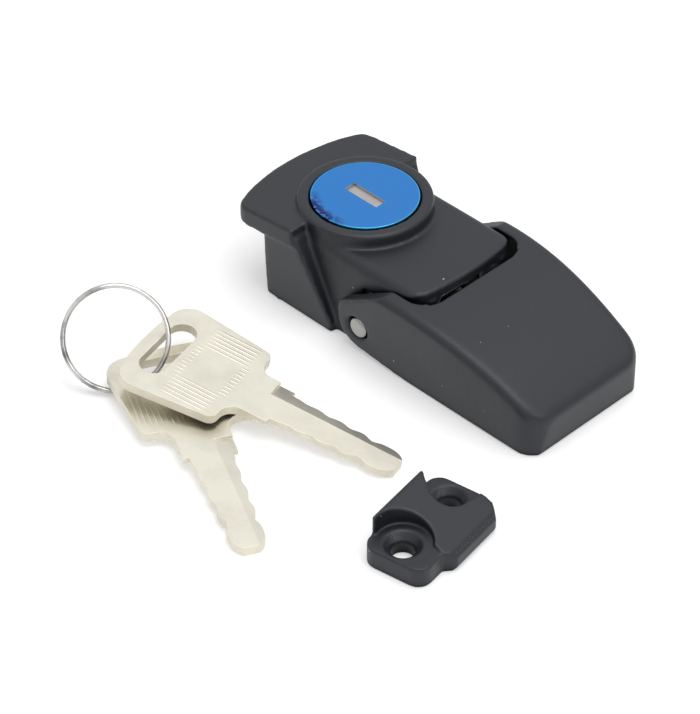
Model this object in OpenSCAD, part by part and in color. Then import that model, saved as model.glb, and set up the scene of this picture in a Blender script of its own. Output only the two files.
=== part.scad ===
// Keyed draw latch for a cabinet door: housing with lock, lever, draw hook, keeper and two keys.
// Millimetres. +X towards the lever tip, +Z up from the mounting face, origin midway between the rear screws.
// The modules are drawn about the lever pivot at x = 0 and are set in that frame at the end.

/* [Housing] */
// Half width of the housing at the mounting face
block_half_w = 13.7; // [13.4:0.1:14.2]
// Overhang of the top plate beside the foot of the lever
plate_over = 1.6; // [1.2:0.1:2]
// Rearmost point of the top plate
plate_rear_x = -32.3; // [-34:0.1:-31.5]
// Thickness of the top plate
plate_t = 3.4; // [3:0.1:3.8]
// Outer face of the rear wall
rear_wall_x = -23.7; // [-24.2:0.1:-23.4]
// Height of the top plate at its front corners
plate_front_z = 19.1; // [18.9:0.1:19.4]
// Fall of the top plate towards the rear, in degrees
plate_fall = 6; // [4:0.5:7]
// Wall thickness of the casting
wall = 2.2; // [1.8:0.1:2.4]
// Height of the deck in front of the lock
deck_z = 17.4; // [17.2:0.1:17.8]
// Half width of the deck
deck_half_w = 12.35; // [12.2:0.05:12.5]
// Front edge of the deck
deck_front_x = 12.7; // [12.2:0.1:13.2]
// Thickness of the deck
deck_t = 2.4; // [2:0.1:2.6]
// Tapping radius of the mounting holes, for M3 screws
tap_r = 1.25; // [1.1:0.05:1.4]
// Depth of the mounting holes
tap_depth = 6; // [4:0.5:8]

/* [Lever] */
// Height of the lever pivot above the mounting face
pivot_z = 5.7; // [5.5:0.1:6]
// Radius of the pivot pins
pivot_r = 2; // [1.8:0.1:2.2]
// Half width of the lever at the mounting face
lever_half_w = 14; // [13.8:0.1:14.6]
// Tip of the lever
lever_tip_x = 41.1; // [39:0.1:44]
// Highest point of the lever
lever_z = 16.8; // [16.4:0.1:17.2]
// Side draft of the lever at its ears, in millimetres per millimetre
lever_draft = 0.113; // [0.09:0.005:0.13]
// Radius of the long arc over the top of the lever
lever_arc_r = 62.6; // [56:0.2:75]
// Thickness of the lever's top wall
lever_t = 2.4; // [1.8:0.1:3]

/* [Draw hook] */
// Distance from the lever pivot to the link pin
crank_r = 5; // [4.8:0.1:5.2]
// Angle of the link pin below the pivot when closed, in degrees
crank_drop = 12; // [8:1:16]
// Radius of the link pin
link_r = 1.25; // [1.1:0.05:1.35]
// Thickness of the hook plate
hook_t = 1.8; // [1.5:0.1:2]
// Inner face of the claw, which pulls on the keeper
claw_x = -27.4; // [-28:0.1:-27]

/* [Lock] */
// Lock axis along the latch
lock_x = -12.6; // [-12.9:0.1:-12.3]
// Outer radius of the collar round the lock
collar_r = 12; // [11.7:0.1:12.2]
// Height of the collar's rim
collar_z = 20; // [19.8:0.1:20.4]
// Radius of the lock face
face_r = 9.5; // [9.2:0.1:9.7]
// Radius of the lock barrel
barrel_r = 6.4; // [6.2:0.05:6.5]
// Radius of the plug
plug_r = 5.2; // [5:0.05:5.3]
// Length of the key slot
keyway_l = 7.7; // [7.5:0.1:8]
// Width of the key slot
keyway_w = 2.4; // [2.3:0.1:2.6]

/* [Keeper] */
// Height of the keeper's lip
keeper_lip_z = 7.4; // [7:0.1:7.8]
// Half length of the keeper along its lip
keeper_half_l = 10.7; // [10.4:0.1:11]
// Width of the keeper
keeper_w = 14; // [13.7:0.1:14.3]
// Thickness of the keeper's tabs
keeper_tab_t = 3.9; // [3.6:0.1:4.2]
// Half spacing of the keeper's screw holes
keeper_hole_v = 6.6; // [6.4:0.1:6.8]
// Radius of the keeper's screw holes
keeper_hole_r = 2; // [1.7:0.1:2.1]

/* [Keys] */
// Length of a key
key_l = 50.4; // [50:0.1:50.8]
// Thickness of a key
key_t = 1.8; // [1.6:0.1:1.9]
// Half width of the key's bow
bow_half_w = 11.3; // [11.1:0.1:11.5]
// Half width of the key's blade
blade_half_w = 3.75; // [3.6:0.05:3.8]
// Mean radius of the split ring
ring_r = 9; // [8.9:0.05:9.1]
// Radius of the split ring's wire
ring_wire_r = 0.45; // [0.4:0.05:0.5]

/* [Hidden] */
$fn = 64;

CAST = "#2b2d31";
STEEL = "#c9cac8";
NICKEL = "#d8d3c8";
BRASS = "#c8a85a";

// Clearances
run_fit = 0.05;
side_gap = 0.3;
sweep_gap = 0.4;
eps = 0.01;

// Rear block
block_draft = 0.095;
block_front_top_x = -15;
block_front_foot_x = -7.3;
block_foot_z = 1.9;
block_corner_r = 3;
block_lean = (block_front_foot_x - block_front_top_x) / (plate_front_z - block_foot_z);
block_step = 0.3;
block_inner_x = rear_wall_x + wall;
block_inner_w = block_half_w - wall;
plate_half_w = lever_half_w + plate_over;
plate_corner_r = 3;
plate_arc_r = 34;
plate_under_z = plate_front_z - (block_front_top_x - rear_wall_x) * tan(plate_fall) - plate_t - 0.4;
roof_z = deck_z - deck_t;
mouth_half_w = 7.6;
mouth_z = plate_under_z - 0.2;

// Deck
deck_corner_r = 4;
deck_edge_r = 2;
deck_arc_r = 60;
deck_wall_in = 9.9;
boss_r = 3.3;
skirt_z = pivot_z + crank_r + link_r + 0.55;

// Mounting bosses
mount_boss_r = 2.4;
mount_rear = [rear_wall_x + 3.1, 11.4];
mount_front = [10.4, 8.2];

// Lever
ear_in = deck_half_w + side_gap;
ear_end_r = 4.7;
ear_rise = 31.2;
ear_peak_x = 7;
lever_arc_x = 9;
lever_edge_r = 1.7;
tip_corner_r = 4.5;
tip_edge_r = 1.6;
tip_lean = 0.7;
lever_wall = 2.4;
lever_rib_t = 1.6;
deck_reach = norm([deck_front_x, deck_z - pivot_z]);
recess_r = deck_reach + sweep_gap;

// Link pin at rest
link_x = crank_r * cos(crank_drop);
link_z = pivot_z - crank_r * sin(crank_drop);

// Draw hook
eye_r = 2.5;
arm_in = barrel_r + 0.8;
arm_out = arm_in + 2;
hook_z = 8.5;
hook_bend_x = lock_x - arm_in - 0.6;
claw_t = 2;
claw_tip_z = 4;
tongue_half_w = mouth_half_w - 0.6;

// Lock stack, from the floor of the collar's pocket upwards
pocket_z = 17.2;
flange_t = 1.3;
barrel_foot_z = 6.6;
head_z = pocket_z + flange_t + run_fit;
cap_t = 0.4;
cap_skirt = 0.4;
film_t = 0.12;
head_r = face_r - cap_skirt - run_fit;
head_top_z = collar_z - cap_t;
clip_t = 0.8;
clip_gap = 0.1;
clip_z = roof_z - 0.6 - clip_t - clip_gap;
lock_floor_z = roof_z - 0.6;
cam_t = 1.5;
tail_half = 2.4;
cam_z = barrel_foot_z - 0.2 - cam_t;
cam_reach = arm_in - 0.6;
cam_screw_r = 1.2;
cam_head_r = 3.2;
cam_head_t = 1.6;
plug_foot_z = barrel_foot_z + 0.6;
wafer_t = 1;
wafer_gap = 0.1;
wafer_w = 5;
wafer_pitch = 1.8;
wafer_z0 = plug_foot_z + 1.6;
wafer_r = plug_r - 0.15;
spring_x = 2.2;
spring_w = 0.9;
spring_y = wafer_w / 2 + wafer_gap - eps;
shutter_t = 0.5;
shutter_z = head_top_z - run_fit - shutter_t;

// Keeper place and turn beside the latch
keeper_at = [35.6, -40.7];
keeper_turn = 10;
keeper_low_z = 3.9;
keeper_corner_r = 2.6;
keeper_tab_u0 = 0.15;
keeper_nose = 1.8;
keeper_tab_u1 = keeper_w - keeper_nose;
keeper_hole_u = 5.6;
near_scoop = [keeper_hole_u, -keeper_hole_v, 5];
far_scoop = [4.6, 9.4, 4.9];
scoop_floor = keeper_tab_t - 0.05;
sink_r = 3.3;

// Keys: tip on the table, bow end at this place and height, on the ring or on the other key
lower_end = [-21.199, -40.204];
lower_rise = 2.292;
lower_turn = -25.886;
upper_end = [-21.925, -43.919];
upper_rise = 6.436;
upper_turn = 14.3;
table_gap = 0.02;
bow_l = 20;
bow_corner_r = 4;
bow_end_w = bow_half_w - bow_corner_r;
bow_bulge = 0.5;
bow_flare = 1.6;
shoulder_half_w = bow_half_w - bow_flare;
shoulder_r = 1.6;
neck_step = 1;
neck_half_w = blade_half_w + neck_step;
neck_l = 7.5;
neck_fillet_r = 2.6;
slot_half_l = 7;
slot_r = 2.4;
slot_from_end = 4.779;
stop_x = key_l - bow_l - neck_l;
tip_l = 3.2;
tip_taper = 0.75;
tip_half_w = blade_half_w - tip_taper;
tip_square = 28;
cut_r = 1.2;
cuts = [[6.4, 0.75], [10.9, 0.5], [15.4, 0.45], [19.6, 0.25]];
flank_y = 1.3;
flank_run = 3;
flank_slope = tan(14);

// Split ring
ring_at = [-25.003, -47.577, 8.055];
ring_tilt = 54.165;
ring_azimuth = 318.485;
ring_phase = 135;

// Points of an arc, from angle a0 to a1
function arc(c, r, a0, a1, n = 10) =
    [for (i = [0:n]) let (a = a0 + (a1 - a0) * i / n) [c[0] + r * cos(a), c[1] + r * sin(a)]];

// Outline of a strip that ends in a bulged edge at x = tip, with round corners, from x = back
function bulged(half_w, back, tip, bulge_r, corner_r) =
    let (s = sign(tip - back), cx = tip - s * bulge_r,
         cy = half_w - corner_r,
         dx = sqrt(pow(bulge_r - corner_r, 2) - cy * cy),
         a = atan2(cy, dx),
         up = concat(arc([dx, cy], corner_r, 90, a, 6), arc([0, 0], bulge_r, a, 0, 6)),
         full = concat(up, [for (i = [len(up) - 2:-1:0]) [up[i][0], -up[i][1]]]))
    concat([[back, half_w]], [for (p = full) [cx + s * p[0], p[1]]], [[back, -half_w]]);

// Extrudes an X-Z outline across Y
module across(y0, y1) {
    translate([0, y1, 0]) rotate([90, 0, 0]) linear_extrude(y1 - y0) children();
}

// Extrudes a Y-Z outline along X
module lengthwise(x0, x1) {
    translate([x0, 0, 0]) rotate([90, 0, 90]) linear_extrude(x1 - x0) children();
}

// Cylinder across the latch
module pin_y(x, z, r, y0, y1) {
    translate([x, y1, z]) rotate([90, 0, 0]) cylinder(r = r, h = y1 - y0);
}

// Rectangle with round corners
module round_rect(x0, y0, x1, y1, r) {
    translate([x0 + r, y0]) square([x1 - x0 - 2 * r, y1 - y0]);
    translate([x0, y0 + r]) square([x1 - x0, y1 - y0 - 2 * r]);
    for (x = [x0 + r, x1 - r])
        for (y = [y0 + r, y1 - r])
            translate([x, y]) circle(r);
}

// Round wire swept along a list of points, closed at both ends
module wire(path, r, sides) {
    n = len(path);
    tangents = [for (i = [0:n - 1]) let (d = path[min(i + 1, n - 1)] - path[max(i - 1, 0)]) d / norm(d)];
    rings = [for (i = [0:n - 1])
        let (t = tangents[i], u0 = cross(t, [0, 0, 1]), u = u0 / norm(u0), v = cross(u, t))
        for (k = [0:sides - 1]) let (a = 360 * k / sides) path[i] + r * (cos(a) * u + sin(a) * v)];
    skin = [for (i = [0:n - 2]) for (k = [0:sides - 1]) let (k2 = (k + 1) % sides)
        [i * sides + k, i * sides + k2, (i + 1) * sides + k2, (i + 1) * sides + k]];
    ends = [[for (k = [sides - 1:-1:0]) k], [for (k = [0:sides - 1]) (n - 1) * sides + k]];
    polyhedron(rings, concat(skin, ends), convexity = 6);
}

// Rear block: drafted sides, slanted front shoulders, round rear corners
module rear_block() {
    top_w = block_half_w + block_draft * plate_front_z;
    sink = plate_t / 2;
    front_z = plate_front_z - sink;
    front_x = block_front_top_x + block_lean * sink - block_step;
    rear_z = front_z - (block_front_top_x - rear_wall_x) * tan(plate_fall);
    intersection() {
        lengthwise(rear_wall_x, block_front_foot_x)
            polygon([[-block_half_w, 0], [block_half_w, 0], [top_w, plate_front_z], [-top_w, plate_front_z]]);
        across(-top_w, top_w)
            polygon([[rear_wall_x, 0], [block_front_foot_x, 0], [block_front_foot_x, block_foot_z],
                [front_x, front_z], [rear_wall_x, rear_z]]);
        linear_extrude(plate_front_z)
            round_rect(rear_wall_x, -top_w, block_front_foot_x + block_corner_r, top_w, block_corner_r);
    }
}

// Top plate that overhangs the rear wall and hides the claw
module top_plate() {
    fall = tan(plate_fall);
    rear_z = plate_front_z - (block_front_top_x - plate_rear_x) * fall;
    intersection() {
        linear_extrude(plate_front_z + 1)
            polygon(bulged(plate_half_w, block_front_top_x, plate_rear_x, plate_arc_r, plate_corner_r));
        across(-plate_half_w, plate_half_w)
            polygon([[plate_rear_x, rear_z - plate_t], [plate_rear_x, rear_z],
                [block_front_top_x, plate_front_z],
                [block_front_top_x + plate_t * block_lean, plate_front_z - plate_t],
                [rear_wall_x, plate_under_z]]);
    }
}

// Deck and cheeks in front of the lock
module deck() {
    intersection() {
        lengthwise(block_front_top_x, deck_front_x) {
            translate([-deck_half_w, 0]) square([2 * deck_half_w, deck_z - deck_edge_r]);
            translate([-deck_half_w + deck_edge_r, 0]) square([2 * (deck_half_w - deck_edge_r), deck_z]);
            for (s = [-1, 1])
                translate([s * (deck_half_w - deck_edge_r), deck_z - deck_edge_r]) circle(deck_edge_r);
        }
        linear_extrude(deck_z)
            polygon(bulged(deck_half_w, block_front_top_x, deck_front_x, deck_arc_r, deck_corner_r));
    }
}

// Collar round the lock with a rolled rim
module collar() {
    rim = 0.4;
    translate([lock_x, 0, 0]) rotate_extrude()
        polygon(concat([[0, roof_z - 0.6], [collar_r + 0.2, roof_z - 0.6]],
            arc([collar_r - rim, collar_z - rim], rim, 0, 90, 6), [[0, collar_z]]));
}

// Space cut out of the cheeks so that the link pin can swing round the pivot
module link_swing() {
    difference() {
        polygon([[-0.6, -1], [deck_front_x + 1, -1], [deck_front_x + 1, roof_z], [9, roof_z],
            [5, skirt_z + 0.6], [-0.6, skirt_z]]);
        translate([0, pivot_z]) circle(boss_r);
    }
}

module housing() {
    color(CAST) difference() {
        union() {
            difference() {
                union() {
                    rear_block();
                    top_plate();
                    deck();
                }
                // Hollow underside of the rear block
                translate([block_inner_x, -block_inner_w, -1])
                    cube([lock_x + 6 - block_inner_x, 2 * block_inner_w, lock_floor_z + 1]);
                // Hollow of the deck
                translate([lock_x, -deck_wall_in, -1])
                    cube([deck_front_x + 1 - lock_x, 2 * deck_wall_in, roof_z + 1]);
                for (s = [-1, 1])
                    across(s > 0 ? deck_wall_in - 1 : -deck_half_w - 1,
                        s > 0 ? deck_half_w + 1 : -deck_wall_in + 1)
                        link_swing();
                // Mouth in the rear wall for the claw
                translate([rear_wall_x - 1, -mouth_half_w, -1])
                    cube([wall + 2, 2 * mouth_half_w, mouth_z + 1]);
            }
            collar();
            for (s = [-1, 1]) {
                translate([mount_rear[0], s * mount_rear[1], 0])
                    cylinder(r = mount_boss_r, h = lock_floor_z + 0.5);
                translate([mount_front[0], s * mount_front[1], 0])
                    cylinder(r = mount_boss_r - 0.1, h = roof_z + 0.5);
            }
        }
        // Pocket and bore of the lock
        translate([lock_x, 0, pocket_z]) cylinder(r = face_r + 0.2, h = collar_z);
        translate([lock_x, 0, 0]) cylinder(r = barrel_r + run_fit, h = collar_z + 1);
        // Pin bores in the cheeks
        for (s = [-1, 1])
            pin_y(0, pivot_z, pivot_r, s > 0 ? deck_wall_in - 1 : -deck_half_w - 1,
                s > 0 ? deck_half_w + 1 : -deck_wall_in + 1);
        // Blind mounting holes
        for (p = [mount_rear, mount_front])
            for (s = [-1, 1])
                translate([p[0], s * p[1], -1]) cylinder(r = tap_r, h = tap_depth + 1);
    }
}

// Barrel of the lock, hung by its flange
module lock_barrel() {
    color(STEEL) translate([lock_x, 0, 0]) difference() {
        union() {
            translate([0, 0, barrel_foot_z]) cylinder(r = barrel_r, h = pocket_z + flange_t - barrel_foot_z);
            translate([0, 0, pocket_z]) cylinder(r = face_r - 0.1, h = flange_t);
        }
        translate([0, 0, plug_foot_z - run_fit]) cylinder(r = plug_r + run_fit, h = collar_z);
        translate([0, 0, barrel_foot_z - 1]) cylinder(r = tail_half * sqrt(2) + run_fit * 4, h = collar_z);
        // Groove for the clip
        translate([0, 0, clip_z]) difference() {
            cylinder(r = barrel_r + 1, h = clip_t);
            translate([0, 0, -1]) cylinder(r = barrel_r - 0.4, h = clip_t + 2);
        }
    }
}

// Open spring clip under the roof that holds the barrel up
module barrel_clip() {
    gap = 4;
    color(STEEL) translate([lock_x, 0, clip_z + run_fit]) difference() {
        cylinder(r = barrel_r + 0.7, h = clip_t - 2 * run_fit);
        translate([0, 0, -1]) cylinder(r = barrel_r - 0.35, h = clip_t + 2);
        translate([0, -gap / 2, -1]) cube([barrel_r + 2, gap, clip_t + 2]);
    }
}

// Two short pins pressed into the cheeks, on which the lever's ears turn
module pivot_pins() {
    outer = lever_half_w + lever_draft * pivot_z - 0.1;
    color(STEEL) for (s = [-1, 1])
        pin_y(0, pivot_z, pivot_r, s > 0 ? deck_wall_in : -outer, s > 0 ? outer : -deck_wall_in);
}

// Opening for the key, centred on the lock axis
module keyway(z0, z1) {
    translate([-keyway_l / 2, -keyway_w / 2, z0]) cube([keyway_l, keyway_w, z1 - z0]);
}

function wafer_z(i) = wafer_z0 + i * wafer_pitch;

module lock_plug() {
    color(BRASS) translate([lock_x, 0, 0]) difference() {
        union() {
            translate([0, 0, plug_foot_z]) cylinder(r = plug_r, h = head_top_z - plug_foot_z);
            translate([0, 0, head_z]) cylinder(r = head_r, h = head_top_z - head_z);
            // Square tail for the cam
            translate([-tail_half, -tail_half, cam_z])
                cube([2 * tail_half, 2 * tail_half, plug_foot_z - cam_z + 0.5]);
        }
        keyway(plug_foot_z + 0.8, collar_z + 1);
        for (i = [0:4])
            translate([-plug_r, -wafer_w / 2 - wafer_gap, wafer_z(i)])
                cube([2 * plug_r, wafer_w + 2 * wafer_gap, wafer_t + wafer_gap]);
        // Pockets of the wafer springs
        for (i = [0:4])
            translate([-spring_x, spring_y, wafer_z(i) - eps])
                cube([2 * spring_x, spring_w, wafer_t + wafer_gap]);
        // Pocket of the shutter
        translate([-keyway_l / 2 - 0.6, -keyway_w / 2 - 0.6, shutter_z - run_fit])
            cube([keyway_l + 1.2, keyway_w + 1.2, collar_z]);
        translate([0, 0, cam_z - 1]) cylinder(r = cam_screw_r + run_fit, h = plug_foot_z - cam_z + 0.6);
    }
}

// Thin steel cap crimped over the plug's head
module face_cap() {
    color(STEEL) translate([lock_x, 0, 0]) difference() {
        translate([0, 0, head_z + 0.1]) cylinder(r = face_r, h = collar_z - head_z - 0.1);
        translate([0, 0, head_z - 1]) cylinder(r = head_r + run_fit, h = head_top_z - head_z + 1);
        keyway(head_z, collar_z + 1);
    }
}

// Blue film that protects the lock's face in transport
module protective_film() {
    color("#1f6fd0") translate([lock_x, 0, 0]) difference() {
        translate([0, 0, collar_z]) cylinder(r = face_r, h = film_t);
        keyway(collar_z - 1, collar_z + 1);
    }
}

// Dust shutter just under the key slot
module keyway_shutter() {
    color(NICKEL) translate([lock_x, 0, shutter_z])
        translate([-keyway_l / 2 - 0.5, -keyway_w / 2 - 0.5, 0])
            cube([keyway_l + 1, keyway_w + 1, shutter_t]);
}

// Wafer tumbler, a plate with a window for the key
module wafer(i) {
    color(BRASS) translate([lock_x, 0, wafer_z(i) + wafer_gap / 2]) difference() {
        intersection() {
            translate([-plug_r, -wafer_w / 2, 0]) cube([2 * plug_r, wafer_w, wafer_t]);
            translate([0, 0, -1]) cylinder(r = wafer_r, h = wafer_t + 2);
        }
        keyway(-1, wafer_t + 1);
    }
}

// Springs that push the wafers out, one beside each wafer
module wafer_springs() {
    turns = 3;
    wire_r = 0.12;
    coil_r = 0.26;
    steps = 8;
    length = 2 * spring_x - 0.6;
    color(STEEL) translate([lock_x, 0, 0]) for (i = [0:4])
        translate([0, spring_y + spring_w / 2, wafer_z(i) + (wafer_t + wafer_gap) / 2])
            wire([for (k = [0:turns * steps]) let (a = 360 * k / steps)
                [-length / 2 + length * k / (turns * steps), coil_r * cos(a), coil_r * sin(a)]], wire_r, 5);
}

// Cam on the plug's tail, turned between the arms of the hook
module lock_cam() {
    hub_r = 4.4;
    half_w = 2.6;
    color(STEEL) translate([lock_x, 0, cam_z]) difference() {
        union() {
            cylinder(r = hub_r, h = cam_t);
            translate([0, -half_w, 0]) cube([cam_reach - half_w, 2 * half_w, cam_t]);
            translate([cam_reach - half_w, 0, 0]) cylinder(r = half_w, h = cam_t);
        }
        translate([-tail_half - run_fit, -tail_half - run_fit, -1])
            cube([2 * (tail_half + run_fit), 2 * (tail_half + run_fit), cam_t + 2]);
    }
}

// Pan head screw that holds the cam on the tail
module cam_screw() {
    color(STEEL) translate([lock_x, 0, 0]) difference() {
        union() {
            translate([0, 0, cam_z - cam_head_t]) cylinder(r = cam_head_r, h = cam_head_t);
            translate([0, 0, cam_z - eps]) cylinder(r = cam_screw_r, h = plug_foot_z - cam_z - 0.6);
        }
        for (a = [0, 90])
            rotate(a) translate([-1.6, -0.35, cam_z - cam_head_t - 1]) cube([3.2, 0.7, 1.8]);
    }
}

// Half width of the lever at the mounting face, rounded in plan towards the tip
function lever_b(x) =
    let (c = lever_tip_x - tip_corner_r, d = max(0, min(x - c, tip_corner_r)))
    lever_half_w - tip_corner_r + sqrt(tip_corner_r * tip_corner_r - d * d);

// Side draft fades from the ears towards the tip
function lever_k(x) =
    let (s = max(0, (x - ear_peak_x) / (lever_tip_x - 3 - ear_peak_x))) lever_draft * max(0, 1 - s * s);

// Height of the lever's top along its length
function lever_top(x) =
    x < lever_arc_x ? lever_z
    : lever_z - lever_arc_r + sqrt(lever_arc_r * lever_arc_r - pow(x - lever_arc_x, 2));

// Half of one cross section, from the foot up and over the round edge to the middle
function lever_half(x) =
    let (b = lever_b(x), k = lever_k(x), z = lever_top(x), w = b + k * z, r = lever_edge_r)
    concat([[b, 0], [b + k * (z - r), z - r]],
        [for (a = [18:18:90]) [w - r + r * cos(a), z - r + r * sin(a)]]);

function lever_ring(x) =
    let (h = lever_half(x), n = len(h))
    concat([for (p = h) [x, p[0], p[1]]], [for (i = [n - 1:-1:0]) [x, -h[i][0], h[i][1]]]);

// Drafted, crowned body of the lever, lofted through its cross sections
module lever_body() {
    x0 = -ear_end_r - 1;
    straight = lever_tip_x - tip_corner_r;
    xs = concat([x0], [for (i = [0:14]) lever_arc_x + (straight - lever_arc_x) * i / 14],
        [for (a = [15:15:75]) straight + tip_corner_r * sin(a)], [lever_tip_x]);
    rings = [for (x = xs) lever_ring(x)];
    m = len(rings[0]);
    n = len(xs);
    points = [for (r = rings) for (p = r) p];
    skin = [for (i = [0:n - 2]) for (k = [0:m - 1]) let (k2 = (k + 1) % m)
        [i * m + k, (i + 1) * m + k, (i + 1) * m + k2, i * m + k2]];
    ends = [[for (k = [0:m - 1]) k], [for (k = [m - 1:-1:0]) (n - 1) * m + k]];
    polyhedron(points, concat(skin, ends), convexity = 4);
}

// Side outline of the lever: round ear ends, rising ears, leaning tip
module lever_side() {
    slope = tan(ear_rise);
    above = lever_z + 2;
    far_x = ear_peak_x + (above - lever_z) / slope;
    ear_d = (lever_z - pivot_z) * cos(ear_rise) - ear_peak_x * sin(ear_rise);
    shoulder = [-1.3, pivot_z + 2.3];
    shoulder_r = ear_d - ((shoulder[1] - pivot_z) * cos(ear_rise) - shoulder[0] * sin(ear_rise));
    tip_z = lever_top(lever_tip_x - tip_edge_r) - tip_edge_r - 0.4;
    polygon(concat(
        [[10.5, 0], [lever_tip_x - tip_lean, 0], [lever_tip_x, tip_z]],
        arc([lever_tip_x - tip_edge_r, tip_z], tip_edge_r, 0, 60, 6),
        [[lever_tip_x - tip_edge_r - 2, above], [far_x, above]],
        arc(shoulder, shoulder_r, 90 + ear_rise, 180, 6),
        arc([0, pivot_z], ear_end_r, 180, 262, 10)));
}

// Swept space of the deck: the deck's plan turned about the pivot, with clearance
module deck_sweep() {
    cy = deck_half_w - deck_corner_r;
    side_r = norm([deck_front_x - deck_corner_r, deck_z - pivot_z]) + sweep_gap;
    corner = [for (i = [0:6]) let (a = 90 * i / 6)
        [norm([deck_front_x - deck_corner_r + deck_corner_r * sin(a), deck_z - pivot_z]) + sweep_gap,
         cy + (deck_corner_r + side_gap) * cos(a)]];
    translate([0, 0, pivot_z]) rotate([-90, 0, 0]) rotate_extrude($fn = 128)
        polygon(concat([[0, ear_in]], corner,
            [for (i = [6:-1:0]) [corner[i][0], -corner[i][1]]], [[0, -ear_in]]));
}

// Hollow underside of the lever, between its walls
module lever_hollow() {
    inner = lever_half_w - lever_wall;
    x1 = lever_tip_x - tip_corner_r + 1;
    steps = 12;
    across(-inner, inner)
        polygon(concat([[x1, -1]],
            [for (i = [steps:-1:0]) let (x = lever_arc_x + (x1 - lever_arc_x) * i / steps)
                [x, lever_top(x) - lever_t]],
            [[lever_arc_x, -1]]));
}

module lever() {
    outer = lever_half_w + lever_draft * lever_z + 1;
    near_seat = ear_in + 1.1;
    color(CAST) difference() {
        union() {
            difference() {
                intersection() {
                    lever_body();
                    across(-outer, outer) lever_side();
                }
                lever_hollow();
            }
            // Stiffening ribs across and along the hollow
            intersection() {
                lever_body();
                across(-outer, outer) lever_side();
                union() {
                    translate([recess_r + 1, -lever_rib_t / 2, 2]) cube([lever_tip_x, lever_rib_t, lever_z]);
                    translate([27, -lever_half_w + 0.5, 2])
                        cube([lever_rib_t, 2 * lever_half_w - 1, lever_z]);
                }
            }
        }
        deck_sweep();
        // Bores for the pivot pins with a ring-shaped counterbore outside
        pin_y(0, pivot_z, pivot_r + run_fit, -outer, outer);
        for (s = [-1, 1]) {
            face = lever_half_w + lever_draft * pivot_z - 0.6;
            pin_y(0, pivot_z, pivot_r + 0.45, s > 0 ? face : -outer, s > 0 ? outer : -face);
        }
        // Link pin: bored through the far ear, blind in the near one
        pin_y(link_x, link_z, link_r, -near_seat, outer);
    }
}

module link_pin() {
    color(STEEL) pin_y(link_x, link_z, link_r, -ear_in - 1, lever_half_w + lever_draft * link_z - 0.3);
}

// Side outline of the hook: eye, rising arm, flat tail and claw
module hook_side() {
    d = hook_t / 2;
    rise = atan2(hook_z - link_z, link_x - hook_bend_x);
    join = asin(d / eye_r);
    polygon(concat(
        arc([link_x, link_z], eye_r, 180 - rise + join, 540 - rise - join, 24),
        [[hook_bend_x, hook_z + d], [claw_x - claw_t + d, hook_z + d], [claw_x - claw_t, hook_z],
         [claw_x - claw_t, claw_tip_z + 1], [claw_x - claw_t * 0.6, claw_tip_z], [claw_x, claw_tip_z],
         [claw_x, hook_z - d], [hook_bend_x, hook_z - d]]));
}

// Plan of the hook: two arms beside the barrel, joined behind it
module hook_plan() {
    neck_x = lock_x - 5.4;
    difference() {
        polygon([[link_x + eye_r + 1, arm_out], [neck_x + 3, arm_out], [neck_x, tongue_half_w],
            [claw_x - claw_t - 1, tongue_half_w], [claw_x - claw_t - 1, -tongue_half_w],
            [neck_x, -tongue_half_w],
            [neck_x + 3, -arm_out], [link_x + eye_r + 1, -arm_out]]);
        translate([lock_x, 0]) circle(barrel_r + 0.5);
        translate([lock_x, -arm_in]) square([link_x + eye_r + 2 - lock_x, 2 * arm_in]);
    }
}

module draw_hook() {
    color(STEEL) difference() {
        intersection() {
            across(-arm_out - 1, arm_out + 1) hook_side();
            linear_extrude(hook_z + 10) hook_plan();
        }
        pin_y(link_x, link_z, link_r + run_fit, -arm_out - 1, arm_out + 1);
    }
}

// Plan of the keeper's wedge: lip along u = 0, low side cut back at both ends
module keeper_plan() {
    polygon([[-1, -7.4], [6, -7.4], [10.2, -4.5], [keeper_tab_u1, -5], [keeper_w, -3.4], [keeper_w, 7.9],
        [keeper_tab_u1 - 0.2, 9.8], [7.7, 10.2], [3, 10.2], [3, keeper_hole_v], [-1, keeper_hole_v]]);
}

// Keeper: wedge with a sharp lip on a flat tab with two scoops and countersunk holes
module keeper_body() {
    difference() {
        union() {
            linear_extrude(keeper_tab_t)
                round_rect(keeper_tab_u0, -keeper_half_l, keeper_tab_u1, keeper_half_l, keeper_corner_r);
            intersection() {
                linear_extrude(keeper_lip_z + 1) keeper_plan();
                across(-keeper_half_l, keeper_half_l)
                    polygon([[0, 0], [keeper_w - 0.6, 0], [keeper_w, 0.8], [keeper_w, keeper_low_z - 1],
                        [keeper_w - 1, keeper_low_z], [0.8, keeper_lip_z], [0, keeper_lip_z]]);
            }
        }
        for (p = [near_scoop, far_scoop])
            translate([p[0], p[1], scoop_floor]) cylinder(r = p[2], h = keeper_lip_z);
        for (s = [-1, 1])
            translate([keeper_hole_u, s * keeper_hole_v, 0]) {
                translate([0, 0, -1]) cylinder(r = keeper_hole_r, h = keeper_lip_z);
                translate([0, 0, scoop_floor - (sink_r - keeper_hole_r)])
                    cylinder(r1 = keeper_hole_r, r2 = sink_r, h = sink_r - keeper_hole_r);
                translate([0, 0, scoop_floor - eps]) cylinder(r = sink_r, h = keeper_lip_z);
            }
    }
}

module keeper() {
    color(CAST) translate([keeper_at[0], keeper_at[1], 0]) rotate(keeper_turn) keeper_body();
}

// Half width of the blade at a distance from the tip: tapered, with round cuts
function blade_edge(d) =
    tip_half_w + (blade_half_w - tip_half_w) * max(0, d - tip_l) / (stop_x - tip_l)
        - max([for (c = cuts) c[1] * exp(-pow((d - c[0]) / cut_r, 2))]);

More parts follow.
